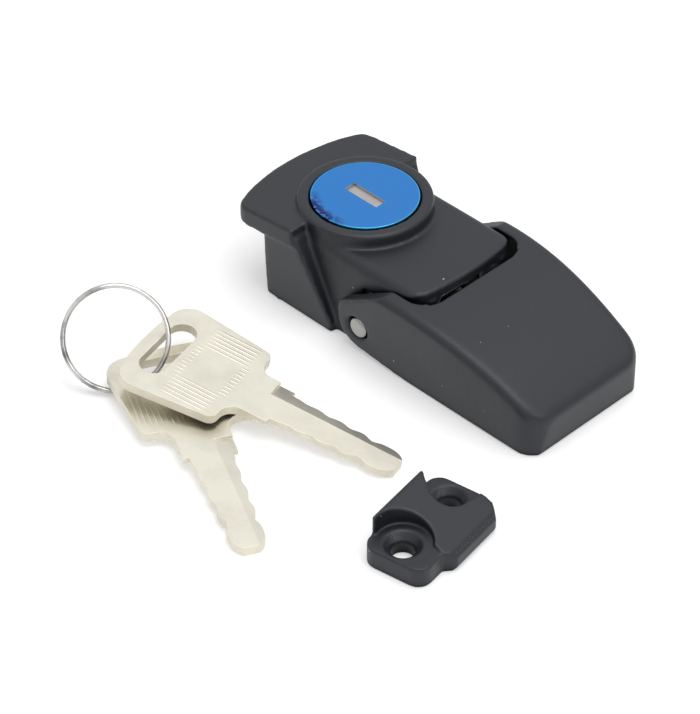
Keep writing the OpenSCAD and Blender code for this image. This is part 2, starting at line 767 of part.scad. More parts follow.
// One edge of the key from the tip to the bow's end: tip, blade, stop, neck, shoulder, bow
function key_edge() =
    let (steps = 44, shoulder_x = key_l - bow_l,
         bulge_r = (bow_end_w * bow_end_w + bow_bulge * bow_bulge) / (2 * bow_bulge),
         half = asin(bow_end_w / bulge_r))
    concat(
        [for (a = [tip_square:10:78]) [-tip_l * (1 - cos(a) / cos(tip_square)), tip_half_w * sin(a)]],
        [for (i = [0:steps]) let (d = tip_l + (stop_x - tip_l) * i / steps) [-d, blade_edge(d)]],
        [[-stop_x - eps, neck_half_w]],
        arc([-shoulder_x + neck_fillet_r, neck_half_w + neck_fillet_r], neck_fillet_r, 270, 180, 6),
        arc([-shoulder_x - shoulder_r, shoulder_half_w - shoulder_r], shoulder_r, 0, 84, 6),
        arc([-key_l + bow_bulge + bow_corner_r, bow_end_w], bow_corner_r, 96, 180, 8),
        arc([-key_l + bulge_r, 0], bulge_r, 180 - half, 180 - half / 4, 3));

// Flat key with its tip at the origin, pointing along +X
module key_blank() {
    edge = key_edge();
    n = len(edge);
    flank_x = stop_x + flank_run;
    drop = (bow_half_w - flank_y) * flank_slope;
    difference() {
        linear_extrude(key_t)
            polygon(concat(edge, [for (i = [n - 1:-1:0]) [edge[i][0], -edge[i][1]]]));
        // Flank milled down along one edge of each face
        lengthwise(-flank_x, 1)
            polygon([[flank_y, key_t], [bow_half_w, key_t - drop],
                [bow_half_w, key_t + 1], [flank_y, key_t + 1]]);
        lengthwise(-flank_x, 1)
            polygon([[-flank_y, 0], [-bow_half_w, drop], [-bow_half_w, -1], [-flank_y, -1]]);
        // Slot for the ring
        translate([-key_l + slot_from_end, 0, -1]) linear_extrude(key_t + 2) {
            translate([-slot_r, -slot_half_l + slot_r]) square([2 * slot_r, 2 * (slot_half_l - slot_r)]);
            for (s = [-1, 1]) translate([0, s * (slot_half_l - slot_r)]) circle(slot_r);
        }
    }
}

// Key set down with its bow's end at a place and height, so that its tip meets the table
module placed_key(end, turn, rise) {
    translate([end[0], end[1], table_gap + rise])
        rotate(turn) rotate([0, asin(rise / key_l), 0]) translate([key_l, 0, 0]) key_blank();
}

module key_lower() {
    color(NICKEL) placed_key(lower_end, lower_turn, lower_rise);
}

module key_upper() {
    color(NICKEL) placed_key(upper_end, upper_turn, upper_rise);
}

// Split ring: two coils of wire lying on each other, with a crossing bend between the wire's ends
module key_ring() {
    steps = 76;
    open = 24;
    bend = 20;
    pitch = 2 * ring_wire_r + 0.04;
    color(STEEL) translate(ring_at) rotate([0, 0, ring_azimuth]) rotate([0, ring_tilt, 0])
        wire([for (k = [0:steps])
            let (t = open + (720 - 2 * open) * k / steps,
                 s = max(-1, min(1, (t - 360) / bend)),
                 a = t + ring_phase)
            [ring_r * cos(a), ring_r * sin(a), pitch * s * (3 - s * s) / 4]], ring_wire_r, 8);
}

// Sets a node in the frame of the rear screws
module in_frame() {
    translate([-mount_rear[0], 0, 0]) children();
}

in_frame() housing();
in_frame() lock_barrel();
in_frame() barrel_clip();
in_frame() pivot_pins();
in_frame() lock_plug();
in_frame() face_cap();
in_frame() protective_film();
in_frame() keyway_shutter();
in_frame() wafer(0);  // wafer_1
in_frame() wafer(1);  // wafer_2
in_frame() wafer(2);  // wafer_3
in_frame() wafer(3);  // wafer_4
in_frame() wafer(4);  // wafer_5
in_frame() wafer_springs();
in_frame() lock_cam();
in_frame() cam_screw();
in_frame() lever();
in_frame() link_pin();
in_frame() draw_hook();
in_frame() keeper();
in_frame() key_lower();
in_frame() key_upper();
in_frame() key_ring();
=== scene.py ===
"""Keyed draw latch with its keeper and two keys, dressed over the CAD frame for a studio picture."""

import math

import bpy
import numpy as np
from bpy.props import FloatProperty, FloatVectorProperty, IntProperty, PointerProperty
from bpy.types import Operator, Panel, PropertyGroup
from mathutils import Matrix, Vector


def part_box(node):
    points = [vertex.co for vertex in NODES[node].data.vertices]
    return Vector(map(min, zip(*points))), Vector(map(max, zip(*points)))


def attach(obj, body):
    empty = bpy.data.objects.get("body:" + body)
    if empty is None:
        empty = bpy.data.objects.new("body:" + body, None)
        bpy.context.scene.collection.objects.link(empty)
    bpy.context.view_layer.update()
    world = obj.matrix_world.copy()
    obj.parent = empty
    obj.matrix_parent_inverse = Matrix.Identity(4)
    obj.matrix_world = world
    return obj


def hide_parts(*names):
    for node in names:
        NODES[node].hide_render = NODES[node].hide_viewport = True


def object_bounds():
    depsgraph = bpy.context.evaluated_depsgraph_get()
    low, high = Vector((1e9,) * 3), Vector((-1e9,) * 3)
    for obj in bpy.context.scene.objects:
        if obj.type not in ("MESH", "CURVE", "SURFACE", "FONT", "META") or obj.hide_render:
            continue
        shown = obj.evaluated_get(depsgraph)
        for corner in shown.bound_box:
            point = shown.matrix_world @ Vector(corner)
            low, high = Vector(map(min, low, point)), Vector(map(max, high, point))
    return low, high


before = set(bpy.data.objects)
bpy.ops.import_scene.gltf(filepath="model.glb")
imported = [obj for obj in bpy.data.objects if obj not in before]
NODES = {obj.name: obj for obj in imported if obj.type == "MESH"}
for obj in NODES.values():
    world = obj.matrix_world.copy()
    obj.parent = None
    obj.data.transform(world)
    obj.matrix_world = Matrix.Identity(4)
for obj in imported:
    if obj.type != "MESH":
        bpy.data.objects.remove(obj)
CAD_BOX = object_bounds()
MM = 0.001

bl_info = {
    "name": "Draw Latch Dresser",
    "version": (1, 0, 0),
    "blender": (4, 5, 0),
    "location": "3D View > Sidebar > Latch",
    "description": "Dresses a keyed draw latch, its keeper and its keys with finishes, relief and a stage",
    "category": "Object",
}

# The photograph's camera, fitted to the latch's edges
PHOTO_SIZE = (700, 714)
VIEW_FOCAL_PX = 3200.0
VIEW_AZIMUTH = math.radians(45.23)
VIEW_ELEVATION = math.radians(39.59)
VIEW_DISTANCE = 560.98 * MM
VIEW_OFFSET = (-12.43 * MM, -6.44 * MM)
VIEW_ORIGIN_X = 21.9 * MM
SENSOR_WIDTH = 36.0

# A flat key in its own frame: tip at the origin, blade along +X, bow at the far end, as in the CAD source.
# Each key is set down by the place and the height of its bow's end and by its turn.
KEY_LENGTH = 50.4 * MM
KEY_THICK = 1.8 * MM
KEY_REST_GAP = 0.02 * MM
KEY_PLACES = {
    "key_lower": ((-0.599 * MM, -40.204 * MM), 2.292 * MM, math.radians(-25.886)),
    "key_upper": ((-1.325 * MM, -43.919 * MM), 6.436 * MM, math.radians(14.3)),
}

# The film over the lock's face. Shares are of the way from the key slot to the end of the film.
FILM_THICK = 0.12 * MM
FILM_LIFT = 0.015 * MM
FILM_CLEAR = 0.01 * MM
FILM_BEAD_SHARES = (0.84, 0.90)
FILM_BEAD_HEIGHT = 0.05 * MM
FILM_RIM_SHARES = (0.90, 0.92)
FILM_OVERHANG = 0.08 * MM
FILM_DROP = 0.3 * MM
FILM_CRUMPLE_ANGLE = 255.0
FILM_CRUMPLE_SPREAD = 32.0
FILM_CRUMPLE_SHARES = (0.70, 0.84)
FILM_CRUMPLE_HEIGHT = 0.1 * MM
SLOT_MARGIN = 0.5 * MM

# How far a ridge's ends sink into the bow, and how deep its foot lies
RIDGE_SINK = 0.02 * MM
RIDGE_FOOT = 0.05 * MM
SHORT_RIDGE_SHARE = 0.17

# The stage: side of the floor, its gap under the part, and the lamps' places and sizes
FLOOR_SIDE = 3.0
FLOOR_GAP = 0.01 * MM
LAMP_TARGET = (0.02, -0.02, 0.0)
KEY_LAMP_PLACE, KEY_LAMP_SIZE = (0.14, 0.05, 0.85), 0.6
FILL_LAMP_PLACE, FILL_LAMP_SIZE = (0.57, -0.05, 0.40), 0.35


def linear(red, green, blue):
    """Linear colour of a display colour given in 0 to 255."""
    c = np.array([red, green, blue]) / 255.0
    return tuple(float(v) for v in np.where(c <= 0.04045, c / 12.92, ((c + 0.055) / 1.055) ** 2.4))


def colour_setting(name, description, default):
    """Property that holds a linear colour."""
    return FloatVectorProperty(
        name=name, description=description, subtype="COLOR", size=3, min=0, max=1, default=default)


def length_setting(name, description, millimetres):
    """Property that holds a length, given in millimetres and kept in metres."""
    return FloatProperty(name=name, description=description, default=millimetres * MM, unit="LENGTH")


def rounds_setting(name, description, default):
    """Property that holds a number of smoothing rounds."""
    return IntProperty(name=name, description=description, default=default, min=0, max=100)


class CoatFinish(PropertyGroup):
    """Black powder coat of the castings."""

    colour: colour_setting("Coat colour", "Colour of the black coat", (0.010, 0.0125, 0.0175))
    worn_colour: colour_setting("Edge colour", "Coat colour where edges are rubbed", (0.045, 0.048, 0.053))
    dust_colour: colour_setting("Dust colour", "Colour of the dust specks", (0.45, 0.45, 0.45))
    # Painted shade: a darker coat colour is laid into crevices where shade falls, out to the reach set below.
    painted_shade_colour: colour_setting("Painted shade colour", "Painted shade of the coat in crevices", (0.002, 0.002, 0.003))
    roughness: FloatProperty(
        name="Roughness", description="Roughness of the coat", default=0.44, min=0, max=1, subtype="FACTOR")
    grain_depth: length_setting("Grain depth", "Height of the coat's fine grain", 0.03)
    painted_shade_reach: length_setting("Painted shade reach", "Reach of the painted shade in crevices", 3.0)
    edge_cell: length_setting("Edge cell", "Cell size that rounds the edges of the big castings", 0.26)
    keeper_cell: length_setting("Keeper cell", "Cell size that rounds the edges of the keeper", 0.13)
    housing_rounds: rounds_setting("Housing rounds", "Smoothing of the housing's cells", 22)
    lever_rounds: rounds_setting("Lever rounds", "Smoothing of the lever's cells", 20)
    keeper_rounds: rounds_setting("Keeper rounds", "Smoothing of the keeper's cells", 40)


class MetalFinish(PropertyGroup):
    """Bright metals and the blue film."""

    nickel: colour_setting("Nickel", "Colour of the keys' nickel", linear(232, 228, 214))
    steel: colour_setting("Steel", "Colour of the hook, the cap, the cam and the screw", linear(205, 205, 202))
    pin: colour_setting("Pins", "Colour of the pins", linear(165, 165, 161))
    wire: colour_setting("Ring wire", "Colour of the split ring", linear(214, 213, 210))
    zinc: colour_setting("Zinc", "Colour of the lock's barrel", linear(176, 177, 178))
    brass: colour_setting("Brass", "Colour of plug and tumblers", linear(214, 186, 118))
    shutter: colour_setting("Shutter", "Colour of the shutter under the key slot", linear(190, 186, 186))
    film: colour_setting("Film", "Colour of the protective film", linear(44, 126, 204))
    # Painted highlight: a paler colour laid on the film's rim, over its real bead and bend.
    film_rim_highlight: colour_setting("Film rim highlight", "Painted highlight colour of the film where it bends over the rim", linear(70, 190, 250))
    # Painted shade: a dark colour laid in the film's crumpled part, over its real folds.
    film_fold_shade: colour_setting("Film fold shade", "Painted shade colour of the film where it is crumpled", linear(22, 34, 110))


class KeyRelief(PropertyGroup):
    """Fine ridges round a bare field on the keys' bows."""

    pitch: length_setting("Pitch", "Distance between ridges", 0.9)
    height: length_setting("Height", "Height of a ridge over the bow", 0.03)
    width: length_setting("Width", "Width of a ridge at its foot", 0.45)
    from_end: length_setting("From end", "Start of the ridges from the end of the bow", 8.0)
    length: length_setting("Length", "Length of the ridged frame along the key", 11.0)
    half_width: length_setting("Half width", "Half width of the ridged frame", 9.2)
    field_half_width: length_setting("Field half width", "Half width of the bare field", 4.1)
    count_steps: IntProperty(
        name="Steps", description="Sections along each ridge", default=13, min=4, max=20)


class StageLight(PropertyGroup):
    """Floor, sky and lamps."""

    floor: colour_setting("Floor", "Colour of the floor", (0.86, 0.86, 0.87))
    sky: FloatProperty(
        name="Sky", description="Strength of the even light", default=0.55, min=0)
    horizon: FloatProperty(
        name="Horizon", description="Strength of the sky near the horizon as bright metal sees it",
        default=0.62, min=0)
    key_power: FloatProperty(
        name="Key lamp", description="Power of the overhead lamp", default=3.0, min=0, subtype="POWER")
    fill_power: FloatProperty(
        name="Fill lamp", description="Power of the side lamp", default=0.6, min=0, subtype="POWER")
    lift: FloatProperty(
        name="Floor lift", description="Glow that brings the open floor to white in view",
        default=0.34, min=0)


# Node helpers


def shader_group(name, inputs, outputs):
    """Empty shader node group with named sockets; returns the group and its input and output nodes."""
    group = bpy.data.node_groups.new(name, "ShaderNodeTree")
    for label, kind, value in inputs:
        socket = group.interface.new_socket(label, in_out="INPUT", socket_type=kind)
        if value is not None:
            socket.default_value = value
    for label, kind in outputs:
        group.interface.new_socket(label, in_out="OUTPUT", socket_type=kind)
    return group, group.nodes.new("NodeGroupInput"), group.nodes.new("NodeGroupOutput")


def add(tree, kind, **settings):
    """New node of a kind with its settings; a setting that names an input socket sets that socket's value."""
    node = tree.nodes.new(kind)
    for key, value in settings.items():
        if hasattr(node, key):
            setattr(node, key, value)
        else:
            node.inputs[key.replace("_", " ")].default_value = value
    return node


def grain_group():
    """Fine pebbled grain: two octaves of noise in millimetre cells, as a height and a roughness change."""
    group, enter, leave = shader_group(
        "Coat Grain",
        [("Vector", "NodeSocketVector", None), ("Cells per metre", "NodeSocketFloat", 2600.0)],
        [("Height", "NodeSocketFloat"), ("Patch", "NodeSocketFloat")])
    fine = add(group, "ShaderNodeTexNoise", Detail=2.0, Roughness=0.6)
    broad = add(group, "ShaderNodeTexNoise", Scale=140.0, Detail=3.0)
    group.links.new(enter.outputs["Vector"], fine.inputs["Vector"])
    group.links.new(enter.outputs["Cells per metre"], fine.inputs["Scale"])
    group.links.new(enter.outputs["Vector"], broad.inputs["Vector"])
    group.links.new(fine.outputs[0], leave.inputs["Height"])
    group.links.new(broad.outputs[0], leave.inputs["Patch"])
    return group


def dust_group():
    """Sparse specks: a cell point is a speck where the distance to it is small and its random value is high."""
    group, enter, leave = shader_group(
        "Dust Specks",
        [("Vector", "NodeSocketVector", None), ("Cells per metre", "NodeSocketFloat", 420.0),
         ("Speck size", "NodeSocketFloat", 0.075), ("Share", "NodeSocketFloat", 0.35)],
        [("Mask", "NodeSocketFloat")])
    cells = add(group, "ShaderNodeTexVoronoi")
    near = add(group, "ShaderNodeMath", operation="LESS_THAN")
    split = add(group, "ShaderNodeSeparateColor")
    chosen = add(group, "ShaderNodeMath", operation="LESS_THAN")
    size = add(group, "ShaderNodeMath", operation="MULTIPLY")
    both = add(group, "ShaderNodeMath", operation="MULTIPLY")
    group.links.new(enter.outputs["Vector"], cells.inputs["Vector"])
    group.links.new(enter.outputs["Cells per metre"], cells.inputs["Scale"])
    group.links.new(cells.outputs["Color"], split.inputs["Color"])
    group.links.new(split.outputs["Green"], size.inputs[0])
    group.links.new(enter.outputs["Speck size"], size.inputs[1])
    group.links.new(cells.outputs["Distance"], near.inputs[0])
    group.links.new(size.outputs[0], near.inputs[1])
    group.links.new(split.outputs["Red"], chosen.inputs[0])
    group.links.new(enter.outputs["Share"], chosen.inputs[1])
    group.links.new(near.outputs[0], both.inputs[0])
    group.links.new(chosen.outputs[0], both.inputs[1])
    group.links.new(both.outputs[0], leave.inputs["Mask"])
    return group


def wear_group():
    """Rubbed edges: the pointed parts of the surface, broken up by noise."""
    group, enter, leave = shader_group(
        "Edge Wear",
        [("Vector", "NodeSocketVector", None), ("From", "NodeSocketFloat", 0.53),
         ("To", "NodeSocketFloat", 0.62)],
        [("Mask", "NodeSocketFloat")])
    geometry = add(group, "ShaderNodeNewGeometry")
    ramp = add(group, "ShaderNodeMapRange")
    noise = add(group, "ShaderNodeTexNoise", Scale=300.0, Detail=3.0)
    both = add(group, "ShaderNodeMath", operation="MULTIPLY")
    group.links.new(geometry.outputs["Pointiness"], ramp.inputs["Value"])
    group.links.new(enter.outputs["From"], ramp.inputs["From Min"])
    group.links.new(enter.outputs["To"], ramp.inputs["From Max"])
    group.links.new(enter.outputs["Vector"], noise.inputs["Vector"])
    group.links.new(ramp.outputs[0], both.inputs[0])
    group.links.new(noise.outputs[0], both.inputs[1])
    group.links.new(both.outputs[0], leave.inputs["Mask"])
    return group


def scuff_group():
    """Handling marks on bright metal: stretched noise as roughness and a small height, and dull patches."""
    group, enter, leave = shader_group(
        "Metal Scuff",
        [("Vector", "NodeSocketVector", None), ("Base", "NodeSocketFloat", 0.2),
         ("Spread", "NodeSocketFloat", 0.1)],
        [("Roughness", "NodeSocketFloat"), ("Height", "NodeSocketFloat"), ("Tarnish", "NodeSocketFloat")])
    broad = add(group, "ShaderNodeTexNoise", Scale=130.0, Detail=5.0, Roughness=0.65)
    tarnish = add(group, "ShaderNodeMapRange", From_Min=0.42, From_Max=0.72)
    stretch = add(group, "ShaderNodeMapping", Scale=(1.0, 4.0, 1.0))
    noise = add(group, "ShaderNodeTexNoise", Scale=320.0, Detail=4.0, Roughness=0.6)
    scaled = add(group, "ShaderNodeMath", operation="MULTIPLY_ADD")
    group.links.new(enter.outputs["Vector"], stretch.inputs["Vector"])
    group.links.new(stretch.outputs[0], noise.inputs["Vector"])
    group.links.new(noise.outputs[0], scaled.inputs[0])
    group.links.new(enter.outputs["Spread"], scaled.inputs[1])
    group.links.new(enter.outputs["Base"], scaled.inputs[2])
    group.links.new(scaled.outputs[0], leave.inputs["Roughness"])
    group.links.new(noise.outputs[0], leave.inputs["Height"])
    group.links.new(enter.outputs["Vector"], broad.inputs["Vector"])
    group.links.new(broad.outputs[0], tarnish.inputs["Value"])
    group.links.new(tarnish.outputs[0], leave.inputs["Tarnish"])
    return group


GROUP_MAKERS = {"Coat Grain": grain_group, "Dust Specks": dust_group, "Edge Wear": wear_group,
                "Metal Scuff": scuff_group}


def place_group(tree, name, vector, **values):
    """Places a shared node group in a material, builds it on first use and sets its inputs."""
    node = tree.nodes.new("ShaderNodeGroup")
    node.node_tree = bpy.data.node_groups.get(name) or GROUP_MAKERS[name]()
    for key, value in values.items():
        node.inputs[key.replace("_", " ")].default_value = value
    tree.links.new(vector, node.inputs["Vector"])
    return node


def new_material(name):
    """Material with a Principled shader; returns it, its tree, the shader and the Object coordinates."""
    material = bpy.data.materials.new(name)
    material.use_nodes = True
    tree = material.node_tree
    shader = tree.nodes["Principled BSDF"]
    coordinates = tree.nodes.new("ShaderNodeTexCoord").outputs["Object"]
    return material, tree, shader, coordinates


def mixed(tree, mask, low, high):
    """Colour that goes from low to high as the mask goes from 0 to 1; low is a colour or a socket."""
    node = tree.nodes.new("ShaderNodeMix")
    node.data_type = "RGBA"
    tree.links.new(mask, node.inputs[0])
    if isinstance(low, bpy.types.NodeSocket):
        tree.links.new(low, node.inputs[6])
    else:
        node.inputs[6].default_value = (*low, 1.0)
    node.inputs[7].default_value = (*high, 1.0)
    return node.outputs[2]


def bumped(tree, shader, height, distance):
    """Drives the shader's normal from a height through a Bump node of that depth."""
    bump = tree.nodes.new("ShaderNodeBump")
    bump.inputs["Strength"].default_value = 1.0
    bump.inputs["Distance"].default_value = distance
    tree.links.new(height, bump.inputs["Height"])
    tree.links.new(bump.outputs[0], shader.inputs["Normal"])


def coat_material(finish):
    """Satin black powder coat with fine grain, rubbed edges, a few dust specks and painted shade in crevices."""
    material, tree, shader, coordinates = new_material("Black Coat")
    grain = place_group(tree, "Coat Grain", coordinates)
    wear = place_group(tree, "Edge Wear", coordinates)
    dust = place_group(tree, "Dust Specks", coordinates)
    worn = mixed(tree, wear.outputs["Mask"], tuple(finish.colour), tuple(finish.worn_colour))
    dusty = mixed(tree, dust.outputs["Mask"], worn, tuple(finish.dust_colour))
    # Painted shade: ambient occlusion finds the crevices, and there the base colour is darkened to the crevice
    # colour while the specular level drops from 0.5 to 0.03.
    crevice = add(tree, "ShaderNodeAmbientOcclusion", samples=8, Distance=finish.painted_shade_reach)
    painted_shade_mask = add(tree, "ShaderNodeMapRange", From_Min=0.75, From_Max=0.35)
    specular_under_shade = add(tree, "ShaderNodeMapRange", To_Min=0.5, To_Max=0.03)
    tree.links.new(crevice.outputs["AO"], painted_shade_mask.inputs["Value"])
    tree.links.new(painted_shade_mask.outputs[0], specular_under_shade.inputs["Value"])
    tree.links.new(specular_under_shade.outputs[0], shader.inputs["Specular IOR Level"])
    shaded = mixed(tree, painted_shade_mask.outputs[0], dusty, tuple(finish.painted_shade_colour))
    tree.links.new(shaded, shader.inputs["Base Color"])
    rough = add(tree, "ShaderNodeMapRange", To_Min=finish.roughness - 0.04, To_Max=finish.roughness + 0.06)
    tree.links.new(grain.outputs["Patch"], rough.inputs["Value"])
    tree.links.new(rough.outputs[0], shader.inputs["Roughness"])
    bumped(tree, shader, grain.outputs["Height"], finish.grain_depth)
    return material


def metal_material(name, colour, roughness, spread, depth, dulled=0.86):
    """Bright metal with soft handling marks and patches where the colour is dulled by a factor."""
    material, tree, shader, coordinates = new_material(name)
    scuff = place_group(tree, "Metal Scuff", coordinates, Base=roughness, Spread=spread)
    dull = tuple(dulled * v for v in colour)
    tree.links.new(mixed(tree, scuff.outputs["Tarnish"], colour, dull), shader.inputs["Base Color"])
    shader.inputs["Metallic"].default_value = 1.0
    tree.links.new(scuff.outputs["Roughness"], shader.inputs["Roughness"])
    bumped(tree, shader, scuff.outputs["Height"], depth)
    return material


def key_material(colour):
    """Nickel with smooth faces and matt milled flanks: the flanks are where the surface leans a little."""
    material = metal_material("Key Nickel", colour, roughness=0.24, spread=0.14, depth=0.015 * MM)
    tree = material.node_tree
    shader = tree.nodes["Principled BSDF"]
    smooth_rough = shader.inputs["Roughness"].links[0].from_socket
    split = add(tree, "ShaderNodeSeparateXYZ")
    upright = add(tree, "ShaderNodeMath", operation="ABSOLUTE")
    lean = add(tree, "ShaderNodeMapRange", From_Min=0.97, From_Max=0.94, To_Max=0.4)
    total = add(tree, "ShaderNodeMath", operation="ADD")
    tree.links.new(tree.nodes.new("ShaderNodeNewGeometry").outputs["True Normal"], split.inputs[0])
    tree.links.new(split.outputs["Z"], upright.inputs[0])
    tree.links.new(upright.outputs[0], lean.inputs["Value"])
    tree.links.new(smooth_rough, total.inputs[0])
    tree.links.new(lean.outputs[0], total.inputs[1])
    tree.links.new(total.outputs[0], shader.inputs["Roughness"])
    return material


def film_material(colour, rim_highlight_colour, fold_shade_colour):
    """Glossy blue film with the metal cast of the cap under it: paler at the rim, a painted highlight over its real
    bead and bend, and darkened where crumpled, painted shade over its real folds.
    """
    material, tree, shader, coordinates = new_material("Blue Film")
    scuff = place_group(tree, "Metal Scuff", coordinates, Base=0.2, Spread=0.12)
    # Nearness to the rim masks the painted highlight, the paler rim colour.
    rim = add(tree, "ShaderNodeAttribute", attribute_name="rim")
    # The crumple spot, broken by noise, masks the painted shade of the folds.
    crumple = add(tree, "ShaderNodeAttribute", attribute_name="crumple")
    broken = add(tree, "ShaderNodeTexNoise", Scale=900.0, Detail=3.0)
    patch = add(tree, "ShaderNodeMapRange", From_Min=0.38, From_Max=0.5)
    mask = add(tree, "ShaderNodeMath", operation="MULTIPLY")
    tree.links.new(coordinates, broken.inputs["Vector"])
    tree.links.new(broken.outputs[0], patch.inputs["Value"])
    tree.links.new(crumple.outputs["Fac"], mask.inputs[0])
    tree.links.new(patch.outputs[0], mask.inputs[1])
    rim_highlighted = mixed(tree, rim.outputs["Fac"], colour, rim_highlight_colour)
    tree.links.new(mixed(tree, mask.outputs[0], rim_highlighted, fold_shade_colour), shader.inputs["Base Color"])
    shader.inputs["Metallic"].default_value = 0.85
    shader.inputs["Coat Weight"].default_value = 0.15
    shader.inputs["Coat Roughness"].default_value = 0.12
    tree.links.new(scuff.outputs["Roughness"], shader.inputs["Roughness"])
    bumped(tree, shader, scuff.outputs["Height"], 0.012 * MM)
    return material


# CAD nodes


def paint(node, material):
    """Gives a CAD node one material and smooth shading."""
    mesh = NODES[node].data
    mesh.materials.clear()
    mesh.materials.append(material)
    mesh.polygons.foreach_set("use_smooth", np.ones(len(mesh.polygons), bool))
    return NODES[node]


def weld(obj):
    """Joins the loose triangles of a CAD node."""
    modifier = obj.modifiers.new("Weld", "WELD")
    modifier.merge_threshold = 0.001 * MM


def crisp(node, material, angle=32.0):
    """CAD node with smooth curves and hard edges."""
    obj = paint(node, material)
    weld(obj)
    modifier = obj.modifiers.new("Edge Split", "EDGE_SPLIT")
    modifier.split_angle = math.radians(angle)
    return obj


def cast(node, material, cell, rounds):
    """CAD node with the soft edges of a casting: remade in small cells, then smoothed."""
    obj = paint(node, material)
    weld(obj)
    remesh = obj.modifiers.new("Cells", "REMESH")
    remesh.mode = "VOXEL"
    remesh.voxel_size = cell
    remesh.use_smooth_shade = True
    smooth = obj.modifiers.new("Soft Edges", "SMOOTH")
    smooth.factor = 0.5
    smooth.iterations = rounds
    return obj


def rounded(node, material, width, angle=40.0):
    """CAD node with flat faces and finely rounded edges."""
    obj = paint(node, material)
    weld(obj)
    join = obj.modifiers.new("Join Flats", "DECIMATE")
    join.decimate_type = "DISSOLVE"
    join.angle_limit = math.radians(0.3)
    bevel = obj.modifiers.new("Round Edges", "BEVEL")
    bevel.width = width
    bevel.segments = 3
    bevel.limit_method = "ANGLE"
    bevel.angle_limit = math.radians(angle)
    flat = obj.modifiers.new("Flat Faces", "WEIGHTED_NORMAL")
    flat.weight = 100
    return obj


# New pieces


def grid_faces(rows, columns):
    """Quads of a grid of rows by columns vertices, numbered row by row and closed across the columns."""
    i, j = np.meshgrid(np.arange(rows - 1), np.arange(columns), indexing="ij")
    k = (j + 1) % columns
    corners = [i * columns + j, i * columns + k, (i + 1) * columns + k, (i + 1) * columns + j]
    return np.stack(corners, -1).reshape(-1, 4)


def new_piece(name, points, faces, material, body):
    """Mesh object at the origin from an array of points and lists of corner numbers, riding on a body."""
    mesh = bpy.data.meshes.new(name)
    mesh.from_pydata(points.reshape(-1, 3).tolist(), [], faces)
    mesh.polygons.foreach_set("use_smooth", np.ones(len(mesh.polygons), bool))
    mesh.materials.append(material)
    mesh.update()
    obj = bpy.data.objects.new(name, mesh)
    bpy.context.scene.collection.objects.link(obj)
    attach(obj, body)
    return obj


def ramp(values, low, high):
    """0 up to low, 1 from high on, and a straight rise between them."""
    return np.clip((values - low) / (high - low), 0, 1)


def film_surface(centre, slot_half, rim, top, steps=440, rings=80):
    """Film from the key slot to over the rim of the face; returns its points, its faces and, per point, its crumple
    and its nearness to the rim, which mask the painted shade of the folds and the painted highlight of the rim.

    A point is between the slot's outline (the square direction clipped to the slot's half sides) and the rim's
    circle, at a share v of the way. It swells to a low bead at the rim and past it turns down over the edge. On
    one side the film is crumpled: creases are the folds of two slanted waves, one minus the size of their sine,
    that grow towards the rim.
    """
    a = np.linspace(0, 2 * np.pi, steps, endpoint=False)[None, :]
    v = np.linspace(0, 1, rings)[:, None]
    c, s = np.cos(a), np.sin(a)
    reach = np.minimum(slot_half[0] / np.maximum(np.abs(c), 1e-6), slot_half[1] / np.maximum(np.abs(s), 1e-6))
    flat = np.minimum(v / FILM_RIM_SHARES[1], 1.0)
    edge = ramp(v, FILM_RIM_SHARES[1], 1.0) * np.pi / 2
    radius = reach * (1 - flat) + (rim + FILM_CLEAR) * flat + FILM_OVERHANG * np.sin(edge)
    rise = ramp(v, *FILM_BEAD_SHARES)
    bead = rise ** 2 * (3 - 2 * rise)
    away = (np.degrees(a) - FILM_CRUMPLE_ANGLE + 180) % 360 - 180
    spot = np.exp(-(away / FILM_CRUMPLE_SPREAD) ** 4) * ramp(v, *FILM_CRUMPLE_SHARES)
    bend = 0.5 * np.sin(7 * a) + 0.4 * np.sin(17 * a + 1.3)
    folds = ((1 - np.abs(np.sin(31 * a + 15 * v + 3 * bend))) ** 2
             + (1 - np.abs(np.sin(13 * a - 27 * v + 2 * bend))) ** 2)
    crumple = spot * np.clip(folds, 0, 1)
    level = FILM_LIFT + FILM_BEAD_HEIGHT * bead * (1 - spot) + FILM_CRUMPLE_HEIGHT * crumple
    height = top - FILM_THICK + level - FILM_DROP * (1 - np.cos(edge))
    points = np.stack([centre[0] + radius * c, centre[1] + radius * s, height + 0 * a], -1)
    # Nearness to the rim, the mask of the film's painted highlight.
    rim_highlight_share = ramp(v, *FILM_RIM_SHARES) + 0 * a
    # The crumple spot also masks the painted shade of the folds in the film's colour.
    return points, grid_faces(rings, steps), {"crumple": spot.ravel(), "rim": rim_highlight_share.ravel()}


def key_frame(node):
    """Matrix from a key's own frame to the row frame."""
    end, rise, turn = KEY_PLACES[node]
    tilt = math.asin(rise / KEY_LENGTH)
    place = Matrix.Translation((end[0], end[1], KEY_REST_GAP + rise))
    return (place @ Matrix.Rotation(turn, 4, "Z") @ Matrix.Rotation(tilt, 4, "Y")
            @ Matrix.Translation((KEY_LENGTH, 0, 0)))


def ridge_spans(relief):
    """Start and end along the key and the offset across it of every ridge.

    Ridges beside the bare field have the full length. In line with the field there are two short ones, at its ends.
    """
    x0 = -KEY_LENGTH + relief.from_end
    x1 = x0 + relief.length
    last = math.floor(relief.half_width / relief.pitch)
    y = np.arange(-last, last + 1) * relief.pitch
    outer = y[np.abs(y) > relief.field_half_width]
    inner = y[np.abs(y) <= relief.field_half_width]
    short = relief.length * SHORT_RIDGE_SHARE
    full = np.stack([np.full_like(outer, x0), np.full_like(outer, x1), outer], -1)
    near = np.stack([np.full_like(inner, x0), np.full_like(inner, x0 + short), inner], -1)
    far = np.stack([np.full_like(inner, x1 - short), np.full_like(inner, x1), inner], -1)
    return np.concatenate([full, near, far])


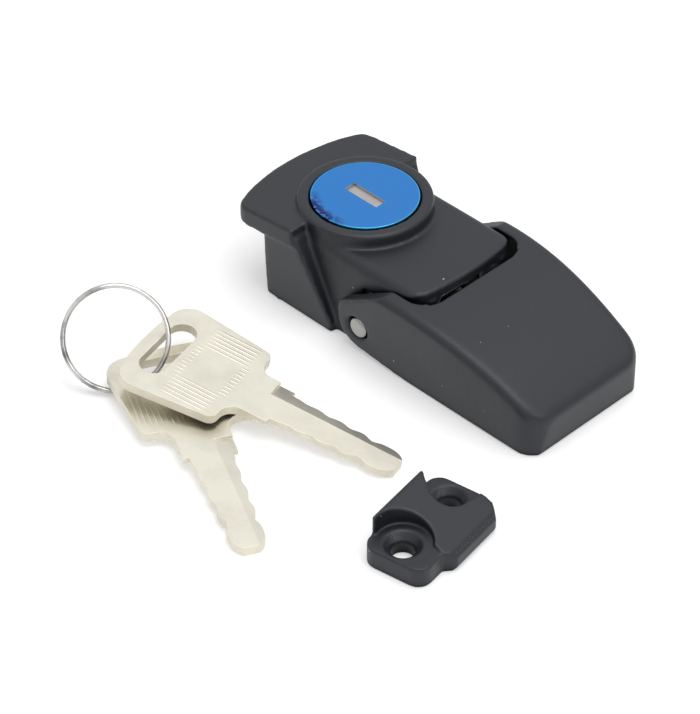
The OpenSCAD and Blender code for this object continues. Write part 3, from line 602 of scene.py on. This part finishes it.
def ridge_surface(relief, matrix):
    """Ridges on both faces of a bow.

    Each ridge is a low arch carried along the key: across it the height follows a half sine, and along it the
    arch sinks into the face at both ends. Its foot lies a little under the face, so the bar is closed.
    """
    spans = ridge_spans(relief)
    steps = relief.count_steps
    t = np.linspace(0, 1, steps)
    swell = np.sin(np.clip(4 * np.minimum(t, 1 - t), 0, 1) * np.pi / 2)
    q = np.linspace(0, np.pi, 5)
    across = np.concatenate([np.cos(q), [-1.0, 1.0]]) * relief.width / 2
    up = np.concatenate([np.sin(q) * (relief.height + RIDGE_SINK), [-RIDGE_FOOT, -RIDGE_FOOT]])
    x = spans[:, 0:1] + (spans[:, 1:2] - spans[:, 0:1]) * t
    shape = (len(spans), steps, len(across))
    local = np.empty((2, *shape, 4))
    lift = np.where(up < 0, up, up * swell[:, None] - RIDGE_SINK)
    for side, sign in enumerate((1.0, -1.0)):
        local[side, ..., 0] = x[:, :, None]
        local[side, ..., 1] = spans[:, 2][:, None, None] + sign * across
        local[side, ..., 2] = KEY_THICK / 2 + sign * (KEY_THICK / 2 + lift)
        local[side, ..., 3] = 1.0
    points = (local.reshape(-1, 4) @ np.array(matrix).T)[:, :3]
    ring = len(across)
    bar = grid_faces(steps, ring)
    starts = np.arange(2 * len(spans)) * steps * ring
    skin = (bar[None] + starts[:, None, None]).reshape(-1, 4)[:, ::-1]
    first = starts[:, None] + np.arange(ring)
    last = starts[:, None] + (steps - 1) * ring + np.arange(ring)[::-1]
    return points, skin.tolist() + first.tolist() + last.tolist()


# Stage


def seen_rays(tree):
    """1 for rays from the camera, from a mirror-like surface or through glass, else 0."""
    path = tree.nodes.new("ShaderNodeLightPath")
    first = add(tree, "ShaderNodeMath", operation="MAXIMUM")
    second = add(tree, "ShaderNodeMath", operation="MAXIMUM")
    tree.links.new(path.outputs["Is Camera Ray"], first.inputs[0])
    tree.links.new(path.outputs["Is Glossy Ray"], first.inputs[1])
    tree.links.new(first.outputs[0], second.inputs[0])
    tree.links.new(path.outputs["Is Transmission Ray"], second.inputs[1])
    return second.outputs[0]


def floor_plane(light):
    """Pale floor just under the part, with a small glow in view that lifts it to white."""
    z = CAD_BOX[0].z - FLOOR_GAP
    mesh = bpy.data.meshes.new("floor")
    corners = np.array([[-1, -1], [1, -1], [1, 1], [-1, 1]]) * FLOOR_SIDE / 2
    mesh.from_pydata([(x, y, z) for x, y in corners.tolist()], [], [(0, 1, 2, 3)])
    material, tree, shader, _ = new_material("Floor")
    shader.inputs["Base Color"].default_value = (*light.floor, 1.0)
    shader.inputs["Roughness"].default_value = 0.9
    shader.inputs["Specular IOR Level"].default_value = 0.1
    shader.inputs["Emission Color"].default_value = (1.0, 1.0, 1.0, 1.0)
    strength = add(tree, "ShaderNodeMath", operation="MULTIPLY")
    strength.inputs[1].default_value = light.lift
    tree.links.new(seen_rays(tree), strength.inputs[0])
    tree.links.new(strength.outputs[0], shader.inputs["Emission Strength"])
    mesh.materials.append(material)
    obj = bpy.data.objects.new("floor", mesh)
    bpy.context.scene.collection.objects.link(obj)


def sky_world(light):
    """White sky: even for soft light, full white in view, darker near the horizon for mirror-like surfaces."""
    world = bpy.data.worlds.new("Studio")
    world.use_nodes = True
    tree = world.node_tree
    background = tree.nodes["Background"]
    background.inputs["Color"].default_value = (1.0, 1.0, 1.0, 1.0)
    path = tree.nodes.new("ShaderNodeLightPath")
    incoming = tree.nodes.new("ShaderNodeNewGeometry").outputs["Incoming"]
    split = tree.nodes.new("ShaderNodeSeparateXYZ")
    fall = add(tree, "ShaderNodeMapRange", interpolation_type="SMOOTHSTEP", From_Min=-0.12, From_Max=-0.6,
               To_Min=light.horizon - light.sky, To_Max=1.0 - light.sky)
    seen = add(tree, "ShaderNodeMath", operation="MULTIPLY_ADD")
    mirrored = add(tree, "ShaderNodeMath", operation="MULTIPLY_ADD")
    tree.links.new(incoming, split.inputs[0])
    tree.links.new(split.outputs["Z"], fall.inputs["Value"])
    tree.links.new(path.outputs["Is Camera Ray"], seen.inputs[0])
    seen.inputs[1].default_value = 1.0 - light.sky
    seen.inputs[2].default_value = light.sky
    tree.links.new(path.outputs["Is Glossy Ray"], mirrored.inputs[0])
    tree.links.new(fall.outputs[0], mirrored.inputs[1])
    tree.links.new(seen.outputs[0], mirrored.inputs[2])
    tree.links.new(mirrored.outputs[0], background.inputs["Strength"])
    bpy.context.scene.world = world


def lamp(name, place, target, size, power):
    """Square area lamp that looks at a point."""
    data = bpy.data.lights.new(name, "AREA")
    data.size = size
    data.energy = power
    obj = bpy.data.objects.new(name, data)
    obj.location = place
    obj.rotation_euler = (Vector(target) - Vector(place)).to_track_quat("-Z", "Y").to_euler()
    bpy.context.scene.collection.objects.link(obj)


def photo_camera(scene):
    """Camera of the photograph: axes from azimuth and elevation, place from the distance and offsets."""
    back = Vector((math.sin(VIEW_AZIMUTH) * math.cos(VIEW_ELEVATION),
                   -math.cos(VIEW_AZIMUTH) * math.cos(VIEW_ELEVATION), math.sin(VIEW_ELEVATION)))
    right = Vector((math.cos(VIEW_AZIMUTH), math.sin(VIEW_AZIMUTH), 0.0))
    up = back.cross(right)
    place = back * VIEW_DISTANCE + right * VIEW_OFFSET[0] + up * VIEW_OFFSET[1] + Vector((VIEW_ORIGIN_X, 0, 0))
    data = bpy.data.cameras.new("Photo Camera")
    data.sensor_width = SENSOR_WIDTH
    data.lens = VIEW_FOCAL_PX * SENSOR_WIDTH / max(PHOTO_SIZE)
    camera = bpy.data.objects.new("Photo Camera", data)
    camera.matrix_world = Matrix.Translation(place) @ Matrix((right, up, back)).transposed().to_4x4()
    scene.collection.objects.link(camera)
    scene.camera = camera


# Operators


class LATCH_OT_castings(Operator):
    """Coats housing, lever and keeper and rounds their edges as castings have them."""

    bl_idname = "latch.castings"
    bl_label = "Dress castings"

    def execute(self, context):
        finish = context.scene.latch_coat
        coat = coat_material(finish)
        cast("housing", coat, finish.edge_cell, finish.housing_rounds)
        cast("lever", coat, finish.edge_cell, finish.lever_rounds)
        cast("keeper", coat, finish.keeper_cell, finish.keeper_rounds)
        return {"FINISHED"}


class LATCH_OT_mechanism(Operator):
    """Gives the pins, the hook, the barrel, the clip, the cam and its screw their metals."""

    bl_idname = "latch.mechanism"
    bl_label = "Dress mechanism"

    def execute(self, context):
        metal = context.scene.latch_metal
        steel = metal_material("Plated Steel", tuple(metal.steel), roughness=0.24, spread=0.12, depth=0.01 * MM)
        zinc = metal_material("Bare Zinc", tuple(metal.zinc), roughness=0.38, spread=0.14, depth=0.02 * MM)
        worn = metal_material("Pin Steel", tuple(metal.pin), roughness=0.16, spread=0.2, depth=0.03 * MM)
        for node in ("draw_hook", "barrel_clip", "lock_cam", "cam_screw", "face_cap"):
            crisp(node, steel)
        for node in ("pivot_pins", "link_pin"):
            rounded(node, worn, width=0.6 * MM)
        crisp("lock_barrel", zinc)
        return {"FINISHED"}


class LATCH_OT_tumblers(Operator):
    """Gives the plug and the tumblers their brass and the springs their steel."""

    bl_idname = "latch.tumblers"
    bl_label = "Dress plug and tumblers"

    def execute(self, context):
        metal = context.scene.latch_metal
        brass = metal_material("Turned Brass", tuple(metal.brass), roughness=0.28, spread=0.12, depth=0.01 * MM)
        for node in ("lock_plug", "wafer_1", "wafer_2", "wafer_3", "wafer_4", "wafer_5"):
            crisp(node, brass)
        crisp("wafer_springs", bpy.data.materials["Plated Steel"], angle=60.0)
        return {"FINISHED"}


class LATCH_OT_lock_face(Operator):
    """Lays the crinkled blue film on the lock's face and plates the shutter."""

    bl_idname = "latch.lock_face"
    bl_label = "Dress lock face"

    def execute(self, context):
        metal = context.scene.latch_metal
        low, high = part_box("protective_film")
        shutter_low, shutter_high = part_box("keyway_shutter")
        centre = (low + high) / 2
        half = ((shutter_high - shutter_low) / 2).to_2d() - Vector((SLOT_MARGIN, SLOT_MARGIN))
        points, faces, shares = film_surface(centre, half, high.x - centre.x, high.z)
        blue = film_material(tuple(metal.film), tuple(metal.film_rim_highlight), tuple(metal.film_fold_shade))
        film = new_piece("film_sheet", points, faces.tolist(), blue, "plug")
        # The shares become attributes that place the film's painted highlight at the rim and painted shade in the
        # folds.
        for name, share in shares.items():
            film.data.attributes.new(name, "FLOAT", "POINT").data.foreach_set("value", share)
        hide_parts("protective_film")
        shutter = metal_material(
            "Shutter Plate", tuple(metal.shutter), roughness=0.3, spread=0.1, depth=0.01 * MM)
        crisp("keyway_shutter", shutter)
        return {"FINISHED"}


class LATCH_OT_keys(Operator):
    """Plates the keys and the ring and raises the ridges on the bows."""

    bl_idname = "latch.keys"
    bl_label = "Dress keys"

    def execute(self, context):
        metal = context.scene.latch_metal
        relief = context.scene.latch_relief
        nickel = key_material(tuple(metal.nickel))
        for node in KEY_PLACES:
            rounded(node, nickel, width=0.14 * MM, angle=12.0)
            points, faces = ridge_surface(relief, key_frame(node))
            new_piece(node + "_ridges", points, faces, nickel, node)
        wire = metal_material(
            "Ring Wire", tuple(metal.wire), roughness=0.08, spread=0.08, depth=0.005 * MM, dulled=0.12)
        crisp("key_ring", wire, angle=60.0)
        return {"FINISHED"}


class LATCH_OT_stage(Operator):
    """Sets the floor, the even sky, the lamps and the photograph's camera."""

    bl_idname = "latch.stage"
    bl_label = "Set stage"

    def execute(self, context):
        light = context.scene.latch_light
        floor_plane(light)
        sky_world(light)
        lamp("Key Lamp", KEY_LAMP_PLACE, LAMP_TARGET, KEY_LAMP_SIZE, light.key_power)
        lamp("Fill Lamp", FILL_LAMP_PLACE, LAMP_TARGET, FILL_LAMP_SIZE, light.fill_power)
        photo_camera(context.scene)
        context.scene.view_settings.view_transform = "Standard"
        return {"FINISHED"}


class LATCH_PT_dresser(Panel):
    """Lists the latch's operators in the sidebar."""

    bl_idname = "LATCH_PT_dresser"
    bl_label = "Draw latch"
    bl_space_type = "VIEW_3D"
    bl_region_type = "UI"
    bl_category = "Latch"

    def draw(self, context):
        for operator in OPERATORS:
            self.layout.operator(operator.bl_idname)


GROUPS = {"latch_coat": CoatFinish, "latch_metal": MetalFinish, "latch_relief": KeyRelief,
          "latch_light": StageLight}
OPERATORS = (LATCH_OT_castings, LATCH_OT_mechanism, LATCH_OT_tumblers, LATCH_OT_lock_face, LATCH_OT_keys,
             LATCH_OT_stage)


def register():
    """Registers the settings, the operators and the panel."""
    for cls in (*GROUPS.values(), *OPERATORS, LATCH_PT_dresser):
        bpy.utils.register_class(cls)
    for name, group in GROUPS.items():
        setattr(bpy.types.Scene, name, PointerProperty(type=group))


def unregister():
    """Takes the settings, the operators and the panel away."""
    for name in GROUPS:
        delattr(bpy.types.Scene, name)
    for cls in (LATCH_PT_dresser, *reversed(OPERATORS), *reversed(GROUPS.values())):
        bpy.utils.unregister_class(cls)


def main():
    """Dresses the part in order."""
    register()
    bpy.ops.latch.castings()
    bpy.ops.latch.mechanism()
    bpy.ops.latch.tumblers()
    bpy.ops.latch.lock_face()
    bpy.ops.latch.keys()
    bpy.ops.latch.stage()
    bpy.context.view_layer.update()


if __name__ == "__main__":
    main()
